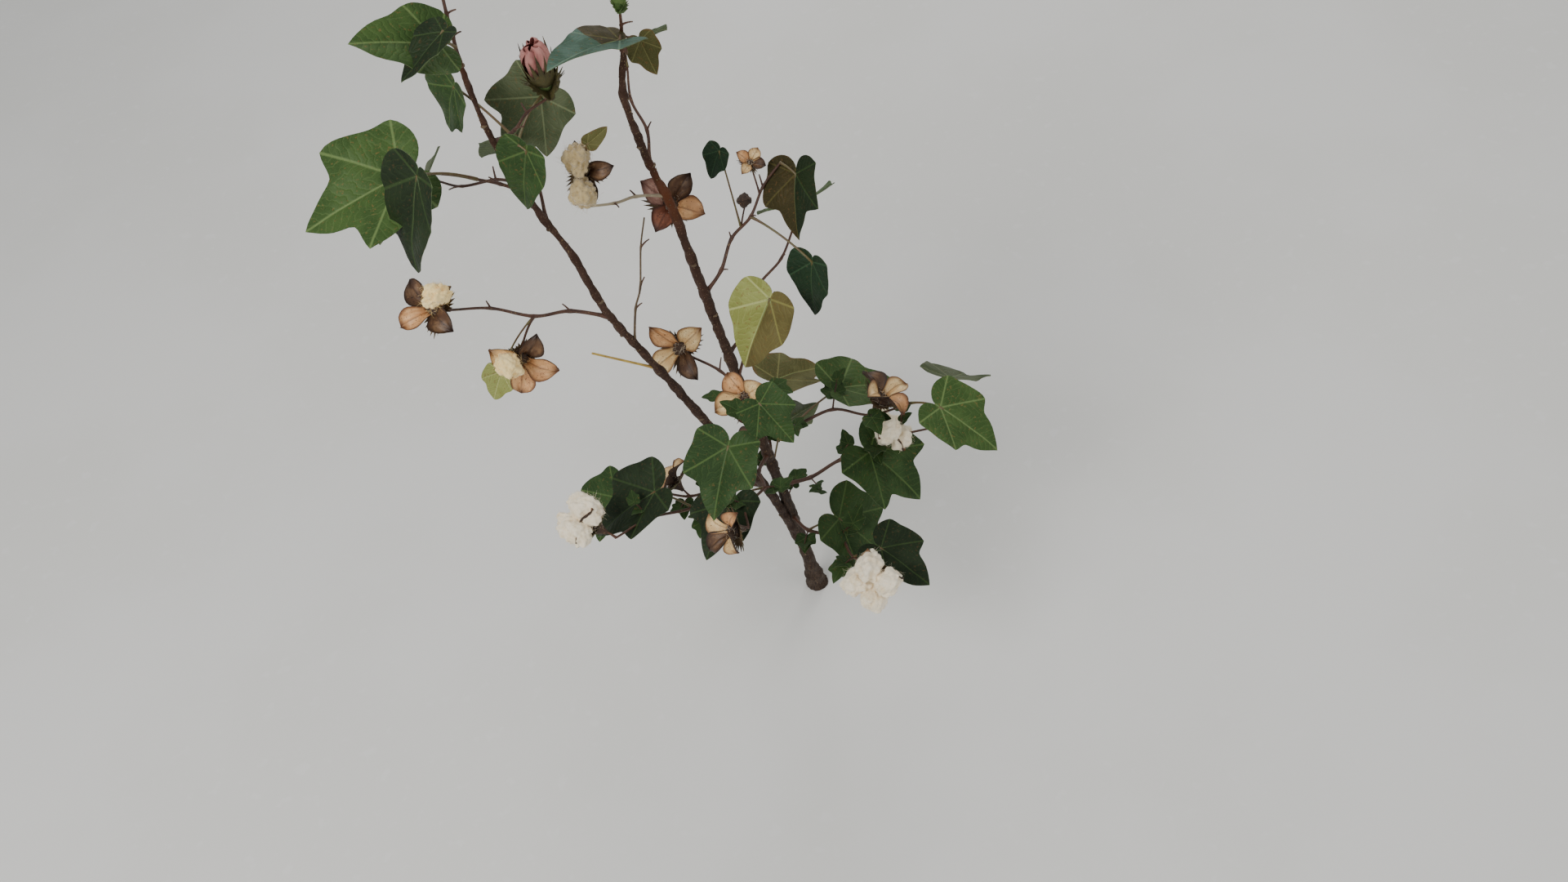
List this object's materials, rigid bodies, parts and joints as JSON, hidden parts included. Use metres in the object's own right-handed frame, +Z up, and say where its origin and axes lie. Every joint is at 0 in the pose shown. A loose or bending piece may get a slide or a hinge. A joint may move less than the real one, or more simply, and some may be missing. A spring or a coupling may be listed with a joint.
{
  "type": "cotton plant",
  "caption": "Cotton plant late in its season: a forked woody stem with sparse sprays of lobed leaves, open burs, lint locks, a furled pink flower and buds.",
  "frame": {"origin": "centre of the flat cut under the main stem, at ground level", "axes": "+Z up along the plant, +X towards the plant's right as the picture shows it, -Y towards the picture's camera"},
  "size_m": [0.4668, 0.3411, 0.7873],
  "materials": {
    "stem": "matt",
    "foliage": "matt"
  },
  "bodies": {
    "root": {"trunk": "stem", "bough_left": "stem", "spray_top": "foliage", "spray_left_lint": "foliage", "spray_upper_bur": "foliage", "spray_right_upper": "foliage", "spray_right_leaf": "foliage", "spray_back_bur": "foliage", "spray_front_upper": "foliage", "spray_right_middle": "foliage", "spray_right_low": "foliage", "spray_front_low": "foliage", "spray_front_middle": "foliage", "spray_back_low": "foliage", "spray_back_right": "foliage", "spray_back_upper": "foliage", "spray_left_tip": "foliage", "spray_left_fruiting": "foliage", "spray_left_leaves": "foliage", "spray_left_front": "foliage", "spray_left_back": "foliage", "spray_left_flower": "foliage", "spray_left_bare": "foliage", "spray_left_stalk": "foliage", "spray_left_low": "foliage", "spray_left_side": "foliage", "spray_left_far": "foliage"}
  },
  "joints": []
}
